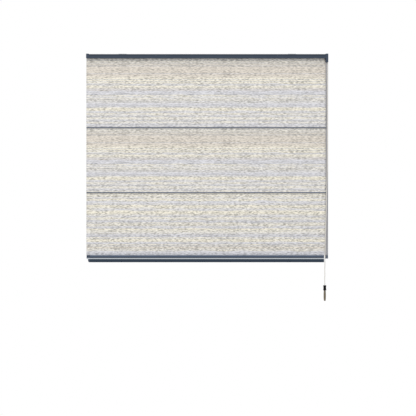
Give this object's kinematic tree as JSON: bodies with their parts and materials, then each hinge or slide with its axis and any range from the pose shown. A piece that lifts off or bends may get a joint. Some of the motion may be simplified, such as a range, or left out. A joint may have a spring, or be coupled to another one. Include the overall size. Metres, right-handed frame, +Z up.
{
  "type": "roman blind",
  "caption": "Flat roman blind: slub-weave cloth with navy fold bindings under an aluminium head rail, raised by cords through a cord lock, with a weighted bottom rail and a wooden pull.",
  "frame": {"origin": "middle of the wall screws, on the wall", "axes": "+X along the head rail to the right as seen from the room, +Y back to the wall, +Z up"},
  "size_m": [0.914, 0.05, 0.933],
  "materials": {
    "navy_powder_coat": "satin powder coat on extruded aluminium",
    "navy_plastic": "moulded, fine texture",
    "zinc_steel": "zinc plated",
    "white_acetal": "moulded",
    "slub_weave": "slub weave",
    "slate_lining": "plain weave",
    "navy_binding": "woven tape",
    "white_cord": "braided polyester",
    "fibreglass": "pultruded",
    "pale_vinyl": "extruded",
    "bare_steel": "drawn",
    "cam_brass": "machined",
    "black_plastic": "moulded",
    "stained_beech": "turned and stained"
  },
  "bodies": {
    "headrail": {"head_rail": "navy_powder_coat", "left_end_cap": "navy_plastic", "cord_lock_housing": "navy_plastic", "mounting_bracket_left": "zinc_steel", "mounting_bracket_right": "zinc_steel", "roller_pin": "zinc_steel", "cam_pin": "zinc_steel", "top_spline": "pale_vinyl", "face_fabric": "slub_weave", "lining": "slate_lining", "cord_guide_left": "white_acetal", "pulley_pin_left": "zinc_steel", "lift_cord_left": "white_cord", "cord_guide_middle": "white_acetal", "pulley_pin_middle": "zinc_steel", "lift_cord_middle": "white_cord", "cord_guide_right": "white_acetal", "pulley_pin_right": "zinc_steel", "lift_cord_right": "white_cord"},
    "bottom_bar": {"bottom_rail": "navy_powder_coat", "rail_stripe": "pale_vinyl", "bottom_spline": "pale_vinyl", "ballast_bar": "bare_steel", "bottom_cap_left": "navy_plastic", "bottom_cap_right": "navy_plastic", "cord_anchors": "white_acetal", "cord_stops": "bare_steel"},
    "upper_fold": {"fold_binding_upper": "navy_binding", "rod_pocket_upper": "slate_lining", "batten_upper": "fibreglass", "cord_rings_upper": "white_acetal"},
    "lower_fold": {"fold_binding_lower": "navy_binding", "rod_pocket_lower": "slate_lining", "batten_lower": "fibreglass", "cord_rings_lower": "white_acetal"},
    "pull": {"pull_cord": "white_cord", "joiner_upper": "black_plastic", "joiner_lower": "black_plastic", "tassel": "stained_beech", "tassel_knot": "white_cord"},
    "roller": {"lock_roller": "zinc_steel"},
    "cam": {"lock_cam": "cam_brass"},
    "wheel_left": {"pulley_left": "white_acetal"},
    "wheel_middle": {"pulley_middle": "white_acetal"},
    "wheel_right": {"pulley_right": "white_acetal"}
  },
  "joints": [
    {"name": "lift", "type": "slide", "parent": "headrail", "child": "bottom_bar", "axis": [0, 0, 1], "range_m": [0, 0.58], "deforming": ["face_fabric", "lining", "lift_cord_left", "lift_cord_middle", "lift_cord_right"]},
    {"name": "upper_fold_rise", "type": "slide", "parent": "headrail", "child": "upper_fold", "axis": [0, 0, 1], "range_m": [0, 0.2047]},
    {"name": "lower_fold_rise", "type": "slide", "parent": "headrail", "child": "lower_fold", "axis": [0, 0, 1], "range_m": [0, 0.3962]},
    {"name": "pull_down", "type": "slide", "parent": "headrail", "child": "pull", "axis": [0, 0, -1], "range_m": [0, 0.58], "deforming": ["pull_cord"]},
    {"name": "roller_spin", "type": "hinge", "parent": "headrail", "child": "roller", "pos_m": [0.4504, -0.0429, 0.0255], "axis": [0, 1, 0], "range_deg": [0, 10721]},
    {"name": "cam_release", "type": "hinge", "parent": "headrail", "child": "cam", "pos_m": [0.4499, -0.0429, 0.0085], "axis": [0, 1, 0], "range_deg": [0, 25]},
    {"name": "wheel_left_spin", "type": "hinge", "parent": "headrail", "child": "wheel_left", "pos_m": [-0.3454, -0.02014, 0.024], "axis": [0.0307, 0.9995, 0], "range_deg": [0, 7226]},
    {"name": "wheel_middle_spin", "type": "hinge", "parent": "headrail", "child": "wheel_middle", "pos_m": [0.00459, -0.02023, 0.024], "axis": [0.0504, 0.9987, 0], "range_deg": [0, 7226]},
    {"name": "wheel_right_spin", "type": "hinge", "parent": "headrail", "child": "wheel_right", "pos_m": [0.30456, -0.02063, 0.024], "axis": [0.1362, 0.9907, 0], "range_deg": [0, 7226]}
  ],
  "couplings": [
    {"joint": "upper_fold_rise", "follows": "lift", "ratio": 0.35263},
    {"joint": "lower_fold_rise", "follows": "lift", "ratio": 0.6827},
    {"joint": "pull_down", "follows": "lift", "ratio": 1},
    {"joint": "roller_spin", "follows": "lift", "rad_per_m": 322.58},
    {"joint": "wheel_left_spin", "follows": "lift", "rad_per_m": 217.39},
    {"joint": "wheel_middle_spin", "follows": "lift", "rad_per_m": 217.39},
    {"joint": "wheel_right_spin", "follows": "lift", "rad_per_m": 217.39}
  ]
}
